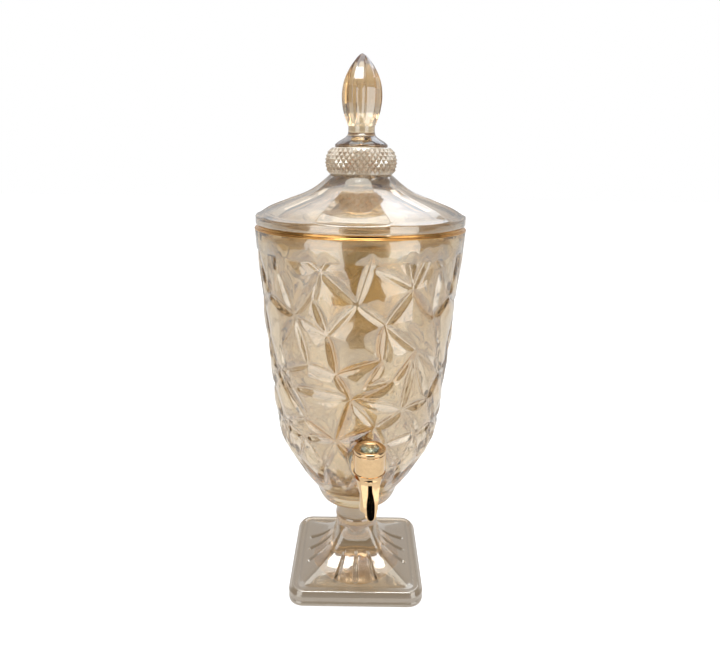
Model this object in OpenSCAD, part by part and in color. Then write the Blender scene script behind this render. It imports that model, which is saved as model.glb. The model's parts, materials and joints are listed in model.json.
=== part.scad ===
// Footed glass drinks dispenser: a cut-glass urn with a lift-off lid and a lever tap.
// The origin is the centre of the foot's underside, +Z is up, and the tap faces -Y.

/* [Urn] */
// Height of the bowl's rim above the table
rim_z = 357; // [340:1:370]
// Outer radius of the bowl at its rim
rim_r = 94.2; // [92:0.1:98]
// Thickness of the bowl's glass wall
wall_t = 6.5; // [5:0.1:7.5]
// Radius of the round stem between foot and bowl
stem_r = 20.8; // [19:0.1:22]
// Height of the joint between the foot and the bowl's stem
stem_joint_z = 66; // [64:0.5:70]

/* [Foot] */
// Side of the square foot
foot_w = 131; // [125:1:140]
// Thickness of the foot's slab at its edge
slab_t = 15.5; // [14:0.5:17]
// Corner radius of the foot
foot_corner_r = 15.3; // [12:0.1:18]
// Radius of the round hollow under the foot
recess_r = 38; // [30:1:42]
// Depth of the round hollow under the foot
recess_h = 13; // [8:1:15]

/* [Lid] */
// Overall height of the dispenser, to the tip of the finial
overall_h = 500; // [495:1:510]
// Outer radius of the lid's edge
lid_r = 93.7; // [92:0.1:97]
// Depth of the locating skirt below the bowl's rim
skirt_h = 10; // [6:0.5:12]
// Radial play between the skirt and the bowl's mouth
skirt_play = 1.2; // [0.8:0.1:2]

/* [Tap] */
// Turn of the tap about the bowl's axis, away from the foot's front face
tap_turn = 5.5; // [-8:0.5:8]
// Height of the tap's shank above the table
shank_z = 163; // [161:0.5:165]
// Distance of the valve chamber's axis from the bowl's axis
chamber_u = 105; // [103:0.5:108]
// Height of the lever's hinge above the shank
pivot_up = 16; // [15.5:0.1:16.5]
// Distance of the lever's hinge behind the chamber's axis
pivot_back = 9.5; // [9.3:0.1:9.6]
// Outer radius of the lever's hood
hood_r = 13.2; // [12.8:0.1:14]
// Length of the lever's tongue below the hood
tongue_l = 35; // [31:1:38]

/* [Hidden] */
$fn = 96;
eps = 0.01;

// Glass
rim_inner_r = rim_r - wall_t;
bond_t = 0.5;
bond_r = stem_r - 0.6;
foot_stem_r = stem_r - 0.3;
cup_foot_z = 86;
cup_top_z = 101;
bowl_floor_z = 105;
seat_r = rim_r - 2.8;
seat_h = 2.5;
lid_edge_h = 6;
lid_chamfer = 0.8;
under_dome_z = rim_z + 8;
skirt_r = rim_inner_r - skirt_play;
skirt_t = 4;
dome_top_z = rim_z + 45;
collar_h = 22.5;
collar_r = 31.1;
collar_foot_r = 27.2;
collar_top_r = 25.5;
finial_z = dome_top_z + collar_h;
finial_base_r = 22;
bud_neck_r = 11.4;
bud_z = overall_h - 58;

// Tap hole in the bowl, and what is clamped in it
shank_r = 7.9;
shank_hole_r = 8.3;
gasket_r = 14.5;
gasket_hole_r = shank_hole_r - 0.2;
washer_r = gasket_r - 0.5;
washer_hole_r = shank_hole_r - 0.1;
outer_face_u = 80.5;
inner_face_u = 66.5;
boss_r = 16;
outer_gasket_t = 2;
inner_gasket_t = 2.5;
washer_t = 1.2;
nut_t = 8;
nut_flats = 24;
shank_end_u = 50;
flange_t = 3;
flange_r = 13.5;
washer_u = inner_face_u - inner_gasket_t - washer_t;

// Tap body and valve, as heights above the table
chamber_r = 10.7;
chamber_bore_r = 6.5;
chamber_top_z = shank_z + 9;
chamber_bottom_z = shank_z + 7;
throat_r = 9.5;
throat_back = 1;
belly_r = 11.6;
belly_end_r = 8;
belly_back = 3.5;
belly_top_z = shank_z - 0.5;
belly_bottom_z = shank_z - 15;
spout_r = 7.8;
spout_bore_r = 4.5;
spout_end_z = shank_z - 29;
valve_seat_z = shank_z - 13;
water_bore_r = 3.8;
block_back = 13.3;
block_h = 6;
neck_r = 8;
pivot_z = shank_z + pivot_up;
ear_r = 3.3;
ear_t = 2.2;
pin_r = 1.5;
pin_play = 0.05;
bonnet_flange_r = 8.2;
bonnet_flange_t = 4;
bonnet_thread_l = 4.5;
stem_rod_r = 2.5;
stem_play = 0.05;
seal_wire_r = 0.75;
stem_top_z = pivot_z + 2.5;
plug_t = 4;
plug_r = 5.5;
plug_nose_h = 2;
plug_nose_r = spout_bore_r - 0.4;
plug_tip_r = spout_bore_r - 1.5;
spring_seat_t = 1;
spring_seat_r = plug_r - 0.4;
spring_gap = 0.05;
spring_steps = 20;
spring_sides = 6;
spring_r = 4.3;
spring_wire_r = 0.45;
spring_turns = 5;
lift_pin_r = 1;
lift_pin_l = 11.2;

// Lever
hood_gap = 0.4;
hood_inner_r = chamber_r + hood_gap;
hood_bottom_z = shank_z + 6;
hood_top_z = pivot_z + 5.5;
hood_plate_t = 2.5;
cheek_r = 5.8;
lug_t = 2;
lug_gap = 0.7;
lug_l = 8;
lug_back = 3.5;
lug_drop = 2.1;
slot_back = 0.1;
slot_half = 1.35;
slot_travel = 1.1;
tongue_top_w = 17;
tongue_overlap = 0.8;
tongue_out = 11.4;
tongue_tip_w = 10;
tongue_t = 2.5;
tongue_across_r = 14;
tongue_along_r = 64.4;
tongue_waist = 0.4;
tongue_reach = 30;
bezel_z = hood_top_z + hood_plate_t;
bezel_h = 3.6;
bezel_r = hood_r + 0.2;
bezel_edge = 0.8;
bezel_top_t = 2;
bezel_floor_t = 1.6;
bezel_hole_r = 6.4;
stone_r = 7.4;
stone_gap = 0.6;
stone_girdle_t = 1.2;
stone_crown_t = 1.8;
stone_table = 0.6;
stone_sides = 8;

// A smooth curve through the points p, with n steps between each pair.
function at(p, i) = p[max(0, min(len(p) - 1, i))];
function blend(a, b, c, d, t) =
    0.5 * (2 * b + (c - a) * t + (2 * a - 5 * b + 4 * c - d) * t * t + (3 * b - a - 3 * c + d) * t * t * t);
function smooth(p, n) = concat(
    [for (i = [0 : len(p) - 2], k = [0 : n - 1]) blend(at(p, i - 1), p[i], p[i + 1], at(p, i + 2), k / n)],
    [p[len(p) - 1]]);

// Outlines of the glass, as [radius, height].
bowl_side = smooth([[40.5, cup_top_z], [57.6, 125], [72.1, 150], [79.3, 176], [87, 260],
    [rim_r, rim_z]], 4);
bowl_cup = smooth([[stem_r, cup_foot_z], [34.3, 88.2], [38.9, 95], [40.5, cup_top_z]], 4);
bowl_inside = smooth([[0, bowl_floor_z], [25, 108], [40, 118], [51, 128], [65.2, 150], [72.8, 178],
    [80.5, 260], [rim_inner_r, rim_z]], 3);
dome_outside = smooth([[91, rim_z + 11.5], [81, rim_z + 17.5], [65.5, rim_z + 23.5], [50, rim_z + 29.2],
    [39.5, rim_z + 35], [collar_foot_r, dome_top_z]], 3);
dome_inside = smooth([[skirt_r - skirt_t, under_dome_z], [74, rim_z + 14.5], [58, rim_z + 20.5],
    [42, rim_z + 26.5], [28, rim_z + 34], [0, rim_z + 37]], 3);
collar_side = smooth([[collar_foot_r, dome_top_z], [collar_r, dome_top_z + 9], [collar_r, dome_top_z + 13],
    [collar_top_r, finial_z]], 5);
bud = smooth([[bud_neck_r, bud_z], [13.6, overall_h - 53], [17.5, overall_h - 33],
    [11.4, overall_h - 12], [3.2, overall_h - 1.5]], 4);
disc_side = smooth([[23, finial_z + 2.5], [20, finial_z + 5], [12.5, finial_z + 10],
    [bud_neck_r, bud_z]], 3);

// The foot's pyramid: its half width and the squareness of its outline at height z.
pyramid_w = 33.2;
pyramid_top_z = 53;
pyramid_h = 38;
round_from_z = 58;
function half_w(z) = stem_r + pyramid_w * pow(max(0, pyramid_top_z - z) / pyramid_h, 2.5);
function squareness(z) = 2 + 12 * pow(max(0, round_from_z - z) / (round_from_z - slab_t), 1.5);
function pyramid_r(z, a) =
    half_w(z) / pow(pow(abs(cos(a)), squareness(z)) + pow(abs(sin(a)), squareness(z)), 1 / squareness(z));

// Places a tap piece: +X runs outward from the bowl's axis, and +Z is up.
module tap_frame() {
    rotate([0, 0, tap_turn - 90]) children();
}

// A cylinder along the shank, from distance u0 to u1.
module shank_cyl(r, u0, u1, sides = $fn) {
    translate([u0, 0, shank_z]) rotate([0, 90, 0]) cylinder(r = r, h = u1 - u0, $fn = sides);
}

// A ring along the shank.
module shank_ring(outer, inner, u0, u1) {
    difference() {
        shank_cyl(outer, u0, u1);
        shank_cyl(inner, u0 - 1, u1 + 1);
    }
}

// A cylinder about the valve chamber's axis, or behind it by back, from height z0 to z1.
module valve_cyl(r, z0, z1, r2 = 0, back = 0) {
    translate([chamber_u - back, 0, z0]) cylinder(r1 = r, r2 = r2 > 0 ? r2 : r, h = z1 - z0);
}

// A cylinder across the tap, of half length w.
module cross_cyl(r, u, z, w) {
    translate([u, 0, z]) rotate([90, 0, 0]) cylinder(r = r, h = 2 * w, center = true);
}

// The same shape on both sides of the tap.
module both_sides() {
    children();
    mirror([0, 1, 0]) children();
}

module bowl() {
    color("wheat", 0.6) difference() {
        union() {
            translate([0, 0, stem_joint_z + bond_t / 2])
                cylinder(r = stem_r, h = cup_top_z - stem_joint_z - bond_t / 2);
            rotate_extrude() polygon(concat([[0, cup_foot_z]], bowl_cup, [[0, cup_top_z]]));
            rotate_extrude() polygon(concat([[0, cup_top_z]], bowl_side, [[0, rim_z]]));
            tap_frame() shank_cyl(boss_r, inner_face_u, outer_face_u);
        }
        difference() {
            rotate_extrude() polygon(concat(bowl_inside, [[0, rim_z + 1]], [[0, bowl_floor_z]]));
            tap_frame() shank_cyl(boss_r, inner_face_u, outer_face_u);
        }
        translate([0, 0, rim_z]) cylinder(r = rim_r + 1, h = 2);
        tap_frame() shank_cyl(boss_r, shank_end_u, inner_face_u);
        tap_frame() shank_cyl(shank_hole_r, shank_end_u, outer_face_u + 1);
    }
}

module slab() {
    inset = foot_w / 2 - foot_corner_r;
    translate([-foot_w / 2, -inset, 0]) cube([foot_w, 2 * inset, slab_t]);
    translate([-inset, -foot_w / 2, 0]) cube([2 * inset, foot_w, slab_t]);
    for (x = [-inset, inset], y = [-inset, inset])
        translate([x, y, 0]) cylinder(r = foot_corner_r, h = slab_t);
}

module pyramid() {
    levels = [slab_t - 1, 17, 20, 24, 29, 34, 40, 46, 52, 58];
    sides = 48;
    rings = [for (z = levels, k = [0 : sides - 1]) let (a = 360 * k / sides)
        [pyramid_r(z, a) * cos(a), pyramid_r(z, a) * sin(a), z]];
    last = (len(levels) - 1) * sides;
    low = len(rings);
    centres = [[0, 0, levels[0]], [0, 0, levels[len(levels) - 1]]];
    lower_half = [for (i = [0 : len(levels) - 2], k = [0 : sides - 1])
        [i * sides + k, (i + 1) * sides + k, i * sides + (k + 1) % sides]];
    upper_half = [for (i = [0 : len(levels) - 2], k = [0 : sides - 1])
        [(i + 1) * sides + k, (i + 1) * sides + (k + 1) % sides, i * sides + (k + 1) % sides]];
    bottom = [for (k = [0 : sides - 1]) [low, k, (k + 1) % sides]];
    top = [for (k = [0 : sides - 1]) [low + 1, last + (k + 1) % sides, last + k]];
    polyhedron(points = concat(rings, centres), faces = concat(bottom, lower_half, upper_half, top));
}

module foot() {
    dome_r = (recess_r * recess_r + recess_h * recess_h) / (2 * recess_h);
    color("wheat", 0.6) difference() {
        union() {
            slab();
            pyramid();
            translate([0, 0, slab_t]) cylinder(r = foot_stem_r, h = stem_joint_z - bond_t / 2 - slab_t);
        }
        translate([0, 0, recess_h - dome_r]) sphere(r = dome_r);
    }
}

module stem_bond() {
    color("white", 0.5) translate([0, 0, stem_joint_z - bond_t / 2]) cylinder(r = bond_r, h = bond_t);
}

module lid_dome() {
    edge_z = rim_z + seat_h;
    color("wheat", 0.6) difference() {
        union() {
            rotate_extrude() polygon(concat(
                [[0, rim_z], [seat_r, rim_z], [seat_r, edge_z], [lid_r - lid_chamfer, edge_z],
                    [lid_r, edge_z + lid_chamfer], [lid_r, edge_z + lid_edge_h]],
                dome_outside, [[0, dome_top_z]]));
            translate([0, 0, rim_z - skirt_h]) cylinder(r = skirt_r, h = skirt_h + 1);
        }
        rotate_extrude() polygon(concat(dome_inside, [[0, under_dome_z]]));
        translate([0, 0, rim_z - skirt_h - 1])
            cylinder(r = skirt_r - skirt_t, h = under_dome_z - rim_z + skirt_h + 1 + eps);
    }
}

module lid_collar() {
    color("wheat", 0.7) rotate_extrude() polygon(concat([[0, dome_top_z]], collar_side, [[0, finial_z]]));
}

module finial() {
    color("wheat", 0.7) {
        rotate_extrude() polygon(concat(
            [[0, finial_z], [finial_base_r, finial_z]], disc_side, [[0, bud_z]]));
        rotate_extrude() polygon(concat([[0, bud_z]], bud, [[0, overall_h]]));
    }
}

module tap_body() {
    color("goldenrod") tap_frame() difference() {
        union() {
            shank_cyl(shank_r, shank_end_u, outer_face_u + outer_gasket_t + 1);
            shank_cyl(flange_r, outer_face_u + outer_gasket_t, outer_face_u + outer_gasket_t + flange_t);
            shank_cyl(neck_r, outer_face_u + outer_gasket_t, chamber_u);
            valve_cyl(chamber_r, chamber_bottom_z, chamber_top_z);
            valve_cyl(throat_r, belly_top_z - 1, chamber_bottom_z + 1, back = throat_back);
            valve_cyl(belly_end_r, belly_bottom_z, belly_top_z, belly_r, belly_back);
            valve_cyl(spout_r, spout_end_z, chamber_bottom_z);
            translate([chamber_u - block_back, -chamber_r, chamber_top_z - block_h])
                cube([block_back, 2 * chamber_r, block_h]);
            both_sides() ear();
        }
        shank_cyl(water_bore_r, shank_end_u - 1, chamber_u);
        valve_cyl(chamber_bore_r, valve_seat_z, chamber_top_z + 1);
        valve_cyl(spout_bore_r, spout_end_z - 1, valve_seat_z + 1);
        cross_cyl(pin_r + pin_play, chamber_u - pivot_back, pivot_z, chamber_r + 1);
    }
}

// One of the two ears that hold the lever's hinge pin.
module ear() {
    u = chamber_u - pivot_back;
    translate([u, chamber_r, pivot_z]) rotate([90, 0, 0]) cylinder(r = ear_r, h = ear_t);
    translate([u - ear_r, chamber_r - ear_t, chamber_top_z - 1])
        cube([2 * ear_r, ear_t, pivot_z - chamber_top_z + 1]);
}

module outer_gasket() {
    color("gainsboro") tap_frame() shank_ring(gasket_r, gasket_hole_r, outer_face_u,
        outer_face_u + outer_gasket_t);
}

module inner_gasket() {
    color("gainsboro") tap_frame() shank_ring(gasket_r, gasket_hole_r, inner_face_u - inner_gasket_t,
        inner_face_u);
}

module inner_washer() {
    color("silver") tap_frame() shank_ring(washer_r, washer_hole_r, washer_u, washer_u + washer_t);
}

module shank_nut() {
    color("goldenrod") tap_frame() difference() {
        shank_cyl(nut_flats / 2 / cos(30), washer_u - nut_t, washer_u, 6);
        shank_cyl(shank_r + 0.05, washer_u - nut_t - 1, washer_u + 1);
    }
}

module bonnet() {
    color("silver") tap_frame() difference() {
        union() {
            valve_cyl(chamber_bore_r - 0.02, chamber_top_z - bonnet_thread_l, chamber_top_z);
            valve_cyl(bonnet_flange_r, chamber_top_z, chamber_top_z + bonnet_flange_t);
        }
        valve_cyl(stem_rod_r + stem_play, chamber_top_z - bonnet_thread_l - 1,
            chamber_top_z + bonnet_flange_t + 1);
        valve_cyl(stem_rod_r + 2 * seal_wire_r, chamber_top_z - 1, chamber_top_z + 1);
    }
}

module stem_seal() {
    color("black") tap_frame() translate([chamber_u, 0, chamber_top_z]) rotate_extrude()
        translate([stem_rod_r + seal_wire_r + 0.05, 0]) circle(r = seal_wire_r - 0.05, $fn = 24);
}

module valve_stem() {
    seat_z = valve_seat_z + plug_t;
    color("silver") tap_frame() difference() {
        union() {
            valve_cyl(stem_rod_r, seat_z, stem_top_z);
            valve_cyl(spring_seat_r, seat_z, seat_z + spring_seat_t);
        }
        cross_cyl(lift_pin_r, chamber_u, pivot_z, stem_rod_r + 1);
    }
}

module valve_plug() {
    color("gainsboro") tap_frame() {
        valve_cyl(plug_r, valve_seat_z, valve_seat_z + plug_t);
        valve_cyl(plug_tip_r, valve_seat_z - plug_nose_h, valve_seat_z, plug_nose_r);
    }
}

module return_spring() {
    z0 = valve_seat_z + plug_t + spring_seat_t + spring_wire_r + spring_gap;
    z1 = chamber_top_z - bonnet_thread_l - spring_wire_r - spring_gap;
    n = spring_sides;
    last = spring_turns * spring_steps;
    points = [for (i = [0 : last], k = [0 : n - 1]) let (
        a = 360 * i / spring_steps, b = 360 * k / n, r = spring_r + spring_wire_r * cos(b))
        [r * cos(a), r * sin(a), z0 + (z1 - z0) * i / last + spring_wire_r * sin(b)]];
    walls = [for (i = [0 : last - 1], k = [0 : n - 1]) let (m = (k + 1) % n)
        [i * n + k, i * n + m, (i + 1) * n + m, (i + 1) * n + k]];
    ends = [[for (k = [n - 1 : -1 : 0]) k], [for (k = [0 : n - 1]) last * n + k]];
    color("silver") tap_frame() translate([chamber_u, 0, 0])
        polyhedron(points = points, faces = concat(walls, ends), convexity = 10);
}

module lift_pin() {
    color("silver") tap_frame() cross_cyl(lift_pin_r, chamber_u, pivot_z, lift_pin_l / 2);
}

module hood() {
    difference() {
        valve_cyl(hood_r, hood_bottom_z, hood_top_z + hood_plate_t);
        valve_cyl(hood_inner_r, hood_bottom_z - 1, hood_top_z);
        translate([chamber_u - 2 * hood_r, -2 * hood_r, hood_bottom_z - 1])
            cube([2 * hood_r, 4 * hood_r, hood_top_z - hood_bottom_z + 1]);
    }
}

// The side of the hood that reaches back to the hinge pin.
module cheek() {
    u = chamber_u - pivot_back;
    translate([u, hood_r, pivot_z]) rotate([90, 0, 0]) cylinder(r = cheek_r, h = hood_r - hood_inner_r);
    translate([u, hood_inner_r, pivot_z - cheek_r])
        cube([pivot_back, hood_r - hood_inner_r, 2 * cheek_r]);
}

// One of the two slotted lugs under the hood's plate, which lift the valve's cross pin.
module lug() {
    side = stem_rod_r + lug_gap;
    slot_u = chamber_u - slot_back;
    difference() {
        translate([chamber_u - lug_back, side, pivot_z - lug_drop])
            cube([lug_l, lug_t, hood_top_z - pivot_z + lug_drop + eps]);
        for (u = [slot_u, slot_u + slot_travel])
            cross_cyl(slot_half, u, pivot_z, side + 2 * lug_t);
        translate([slot_u, 0, pivot_z - slot_half]) cube([slot_travel, side + 2 * lug_t, 2 * slot_half]);
    }
}

// The tongue curves inward along its length and outward across its width.
module tongue() {
    centre_u = chamber_u + tongue_out + tongue_along_r;
    centre_z = hood_bottom_z - tongue_waist * tongue_l;
    tip_z = hood_bottom_z - tongue_l;
    intersection() {
        translate([centre_u, 0, centre_z]) rotate([90, 0, 0]) rotate_extrude($fn = 180)
            translate([tongue_along_r + tongue_across_r, 0]) difference() {
                circle(r = tongue_across_r, $fn = 64);
                circle(r = tongue_across_r - tongue_t, $fn = 64);
            }
        union() {
            translate([chamber_u, 0, 0]) rotate([90, 0, 90]) linear_extrude(height = tongue_reach) polygon([
                [-tongue_top_w / 2, hood_bottom_z + tongue_overlap],
                [tongue_top_w / 2, hood_bottom_z + tongue_overlap],
                [tongue_tip_w / 2, tip_z + tongue_tip_w / 2],
                [-tongue_tip_w / 2, tip_z + tongue_tip_w / 2]]);
            translate([chamber_u, 0, tip_z + tongue_tip_w / 2]) rotate([0, 90, 0])
                cylinder(r = tongue_tip_w / 2, h = tongue_reach);
        }
    }
}

module lever() {
    color("goldenrod") tap_frame() difference() {
        union() {
            hood();
            tongue();
            both_sides() cheek();
            both_sides() lug();
        }
        cross_cyl(pin_r, chamber_u - pivot_back, pivot_z, hood_r + 1);
    }
}

module pivot_pin() {
    color("silver") tap_frame() cross_cyl(pin_r, chamber_u - pivot_back, pivot_z, hood_r);
}

module crystal_bezel() {
    color("gold") tap_frame() translate([chamber_u, 0, bezel_z]) rotate_extrude() polygon([
        [bezel_hole_r, 0], [hood_r - 0.4, 0], [bezel_r, bezel_edge], [bezel_r, bezel_h - bezel_edge],
        [bezel_r - bezel_edge, bezel_h], [bezel_r - bezel_top_t, bezel_h],
        [stone_r + stone_gap, bezel_floor_t], [bezel_hole_r, bezel_floor_t]]);
}

module crystal() {
    color("lightcyan", 0.7) tap_frame() translate([chamber_u, 0, bezel_z + bezel_floor_t]) {
        cylinder(r = stone_r, h = stone_girdle_t, $fn = stone_sides);
        translate([0, 0, stone_girdle_t])
            cylinder(r1 = stone_r, r2 = stone_r * stone_table, h = stone_crown_t, $fn = stone_sides);
    }
}

bowl();
foot();
stem_bond();
lid_dome();
lid_collar();
finial();
tap_body();
outer_gasket();
inner_gasket();
inner_washer();
shank_nut();
bonnet();
stem_seal();
valve_stem();
valve_plug();
return_spring();
lift_pin();
lever();
pivot_pin();
crystal_bezel();
crystal();
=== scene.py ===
import json
import math

import bmesh
import bpy
import numpy as np
from mathutils import Matrix, Vector


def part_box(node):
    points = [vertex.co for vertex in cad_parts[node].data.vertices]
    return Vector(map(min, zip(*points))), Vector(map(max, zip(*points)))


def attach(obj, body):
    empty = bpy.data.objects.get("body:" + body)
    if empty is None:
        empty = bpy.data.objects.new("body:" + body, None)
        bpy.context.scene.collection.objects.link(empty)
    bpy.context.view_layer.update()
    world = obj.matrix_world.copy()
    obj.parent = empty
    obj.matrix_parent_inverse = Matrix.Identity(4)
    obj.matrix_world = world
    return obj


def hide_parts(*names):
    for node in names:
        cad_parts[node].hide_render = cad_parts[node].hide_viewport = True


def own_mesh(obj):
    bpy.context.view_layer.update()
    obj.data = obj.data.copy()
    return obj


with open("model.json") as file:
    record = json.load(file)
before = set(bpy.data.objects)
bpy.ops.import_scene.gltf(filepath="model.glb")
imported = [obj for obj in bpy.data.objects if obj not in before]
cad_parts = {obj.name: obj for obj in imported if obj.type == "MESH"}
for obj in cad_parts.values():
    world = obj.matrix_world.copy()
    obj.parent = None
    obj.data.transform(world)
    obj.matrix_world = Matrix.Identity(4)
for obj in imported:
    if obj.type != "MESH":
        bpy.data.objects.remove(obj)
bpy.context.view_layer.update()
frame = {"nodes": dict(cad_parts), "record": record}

MM = 0.001

# ------------------------------
# Places, from the frame, in millimetres


def box_mm(node):
    """A node's lowest and highest corners at rest."""
    low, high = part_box(node)
    return [c / MM for c in low], [c / MM for c in high]


BOWL_LOW, BOWL_HIGH = box_mm("bowl")
LID_LOW, LID_HIGH = box_mm("lid_dome")
FINIAL_LOW, FINIAL_HIGH = box_mm("finial")
_, FOOT_HIGH = box_mm("foot")
BONNET_LOW, BONNET_HIGH = box_mm("bonnet")

RIM_Z = BOWL_HIGH[2]
RIM_R = BOWL_HIGH[0]
BOWL_BOTTOM_Z = BOWL_LOW[2]
LID_R = LID_HIGH[0]
DOME_TOP_Z = LID_HIGH[2]
SKIRT_Z = LID_LOW[2]
FINIAL_Z = FINIAL_LOW[2]
TIP_Z = FINIAL_HIGH[2]
FOOT_HALF = FOOT_HIGH[0]
FOOT_TOP_Z = FOOT_HIGH[2]

# The tap: its chamber's axis stands off the bowl's axis, turned a little from the front.
CHAMBER = Vector(((BONNET_LOW[0] + BONNET_HIGH[0]) / 2, (BONNET_LOW[1] + BONNET_HIGH[1]) / 2))
CHAMBER_U = CHAMBER.length
TAP_TURN = math.atan2(CHAMBER.x, -CHAMBER.y)
BONNET_ABOVE_SHANK, PIVOT_ABOVE_SHANK = 13, 16
SHANK_Z = BONNET_HIGH[2] - BONNET_ABOVE_SHANK
PIVOT_Z = SHANK_Z + PIVOT_ABOVE_SHANK

# ------------------------------
# Curves and meshes


def smooth(points, steps):
    """A smooth curve through the points, with this many steps between each pair."""
    p = [points[0], *points, points[-1]]
    out = []
    for i in range(1, len(p) - 2):
        a, b, c, d = (np.array(q, float) for q in p[i - 1:i + 3])
        for t in np.arange(steps) / steps:
            out.append(0.5 * (2 * b + (c - a) * t + (2 * a - 5 * b + 4 * c - d) * t ** 2
                              + (3 * b - a - 3 * c + d) * t ** 3))
    return [*out, np.array(points[-1], float)]


def evenly(points, spacing):
    """The same outline with points no further apart than spacing, corners kept."""
    out = [np.array(points[0], float)]
    for a, b in zip(points[:-1], points[1:]):
        a, b = np.array(a, float), np.array(b, float)
        n = max(1, math.ceil(np.linalg.norm(b - a) / spacing))
        out += [a + (b - a) * k / n for k in range(1, n + 1)]
    return np.array(out)


def smoothstep(x, low, high):
    """0 below low, 1 above high, and an even change between them."""
    t = np.clip((x - low) / (high - low), 0, 1)
    return t * t * (3 - 2 * t)


def face_outward(mesh):
    """Turns every face of a closed mesh outward."""
    bm = bmesh.new()
    bm.from_mesh(mesh)
    bmesh.ops.recalc_face_normals(bm, faces=bm.faces)
    bm.to_mesh(mesh)
    bm.free()


def mesh_piece(name, co, faces, body, replaces=(), marks=None):
    """A piece from corners in millimetres, with smooth shading, riding on a CAD body.

    marks are values at the corners that its material reads, such as how much painted sheen or painted shade
    it has there.
    """
    mesh = bpy.data.meshes.new(name)
    mesh.from_pydata((np.asarray(co, float) * MM).tolist(), [], faces)
    for mark, values in (marks or {}).items():
        values = np.ravel(values)
        values = np.append(values, np.zeros(len(co) - len(values)))
        mesh.attributes.new(mark, "FLOAT", "POINT").data.foreach_set("value", values.astype(np.float32))
    mesh.validate()
    face_outward(mesh)
    mesh.shade_smooth()
    piece = bpy.data.objects.new(name, mesh)
    bpy.context.scene.collection.objects.link(piece)
    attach(piece, body)
    if replaces:
        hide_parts(*replaces)
    return piece


def turned_faces(rows, columns, first_pole, last_pole):
    """Faces of a grid of rows round an axis; a pole row is one point, stored after the grid."""
    faces = []
    for i in range(rows - 1):
        for k in range(columns):
            n = (k + 1) % columns
            faces.append((i * columns + k, i * columns + n, (i + 1) * columns + n, (i + 1) * columns + k))
    count = rows * columns
    if first_pole:
        faces += [(count, (k + 1) % columns, k) for k in range(columns)]
        count += 1
    if last_pole:
        last = (rows - 1) * columns
        faces += [(count, last + k, last + (k + 1) % columns) for k in range(columns)]
    return faces


def turned(name, outline, columns, body, replaces=(), shape=None):
    """A body turned about +Z from an outline of (radius, height).

    An end of the outline that isn't on the axis stays open, where the glass runs on into the next piece.
    shape(angle, radius, height) gives the moved (radius, height) and the marks at each point.
    """
    first_pole, last_pole = outline[0][0] < 1e-6, outline[-1][0] < 1e-6
    inner = np.array([p for p in outline if p[0] > 1e-6])
    angle = np.linspace(0, 2 * math.pi, columns, endpoint=False)
    a, r = np.meshgrid(angle, inner[:, 0])
    z = np.repeat(inner[:, 1:2], columns, axis=1)
    marks = None
    if shape:
        r, z, marks = shape(a, r, z)
    co = np.stack([r * np.sin(a), -r * np.cos(a), z], axis=-1).reshape(-1, 3)
    poles = [(0, 0, outline[i][1]) for i, pole in ((0, first_pole), (-1, last_pole)) if pole]
    co = np.vstack([co, *[[p] for p in poles]])
    faces = turned_faces(len(inner), columns, first_pole, last_pole)
    return mesh_piece(name, co, faces, body, replaces, marks)


def boolean(piece, tool, operation):
    """Joins the tool to the piece or cuts the piece with it, and removes the tool."""
    modifier = piece.modifiers.new(operation.lower(), "BOOLEAN")
    modifier.object = tool
    modifier.operation = operation
    modifier.solver = "MANIFOLD"
    bpy.context.view_layer.update()
    evaluated = piece.evaluated_get(bpy.context.evaluated_depsgraph_get())
    mesh = bpy.data.meshes.new_from_object(evaluated)
    if len(mesh.vertices) == len(piece.data.vertices):
        raise RuntimeError(f"{tool.name} did not change {piece.name}")
    piece.modifiers.clear()
    old = piece.data
    piece.data = mesh
    bpy.data.meshes.remove(old)
    bpy.data.objects.remove(tool)


def open_below(piece, height):
    """Removes the flat face at the piece's lower end, where the glass runs on into the next piece."""
    bm = bmesh.new()
    bm.from_mesh(piece.data)
    flat = [face for face in bm.faces if face.calc_center_median().z < (height + 0.05) * MM]
    bmesh.ops.delete(bm, geom=flat, context="FACES_ONLY")
    bm.to_mesh(piece.data)
    bm.free()


def tap_point(u, v, z):
    """A point of the tap: u outward from the bowl's axis, v to the side, z up."""
    c, s = math.cos(TAP_TURN), math.sin(TAP_TURN)
    return (u * s + v * c, -u * c + v * s, z)


def tap_mesh(name, co, faces):
    """A closed mesh from corners in the tap's own (u, v, z): a piece, or a tool to join or cut with."""
    mesh = bpy.data.meshes.new(name)
    mesh.from_pydata([[c * MM for c in tap_point(*p)] for p in co], [], faces)
    mesh.validate()
    face_outward(mesh)
    tool = bpy.data.objects.new(name, mesh)
    bpy.context.scene.collection.objects.link(tool)
    return tool


def circle(radius, sides):
    """Points of a circle about the origin."""
    turns = [2 * math.pi * k / sides for k in range(sides)]
    return [(radius * math.cos(t), radius * math.sin(t)) for t in turns]


def rod(name, first_end, second_end):
    """A closed rod between two rings of points of the tap."""
    n = len(first_end)
    walls = [(k, (k + 1) % n, n + (k + 1) % n, n + k) for k in range(n)]
    return tap_mesh(name, [*first_end, *second_end], [*walls, tuple(range(n)), tuple(range(n, 2 * n))])


def along_shank(name, radius, u0, u1, sides=64):
    """A rod on the shank's axis."""
    return rod(name, *([(u, a, SHANK_Z + b) for a, b in circle(radius, sides)] for u in (u0, u1)))


def crosswise(name, radius, u, z, v0, v1, sides=48):
    """A rod across the tap."""
    return rod(name, *([(u + a, v, z + b) for a, b in circle(radius, sides)] for v in (v0, v1)))


# ------------------------------
# Materials


def material(name):
    """An empty material with one Principled shader."""
    mat = bpy.data.materials.new(name)
    mat.use_nodes = True
    nodes = mat.node_tree.nodes
    nodes.clear()
    out = nodes.new("ShaderNodeOutputMaterial")
    shader = nodes.new("ShaderNodeBsdfPrincipled")
    mat.node_tree.links.new(shader.outputs["BSDF"], out.inputs["Surface"])
    return mat, mat.node_tree, shader, out


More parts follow.
